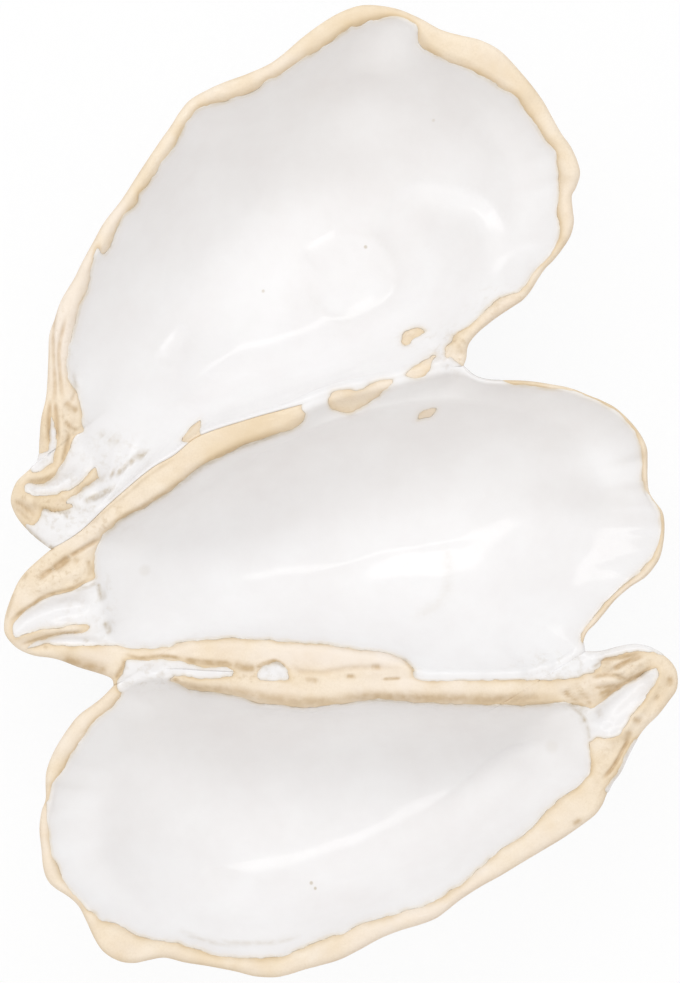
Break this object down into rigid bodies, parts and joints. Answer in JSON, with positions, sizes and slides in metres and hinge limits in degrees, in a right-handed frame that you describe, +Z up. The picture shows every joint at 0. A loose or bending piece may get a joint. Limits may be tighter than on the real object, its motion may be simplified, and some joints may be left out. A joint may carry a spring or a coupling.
{
  "type": "oyster plate",
  "caption": "Hand-built glazed stoneware serving plate: oyster-shell shaped wells joined side by side, white inside, with bare buff clay rims and hinges.",
  "frame": {"origin": "on the table under the middle of the plate", "axes": "+Z up, +Y towards the upper shell across the three shells, +X along the shells towards the middle shell's bill"},
  "size_m": [0.182, 0.262, 0.04],
  "materials": {
    "clay": "bare fired stoneware, matt",
    "slip": "bare fired slip, matt",
    "glaze": "white gloss"
  },
  "bodies": {
    "root": {"upper_shell": "clay", "middle_shell": "clay", "lower_shell": "clay", "upper_seam": "slip", "lower_seam": "slip", "upper_well_glaze": "glaze", "middle_well_glaze": "glaze", "lower_well_glaze": "glaze", "upper_back_glaze": "glaze", "middle_back_glaze": "glaze", "lower_back_glaze": "glaze", "upper_hinge_glaze": "glaze", "middle_hinge_glaze": "glaze", "lower_hinge_glaze": "glaze", "upper_seam_glaze": "glaze", "lower_seam_glaze": "glaze"}
  },
  "joints": []
}
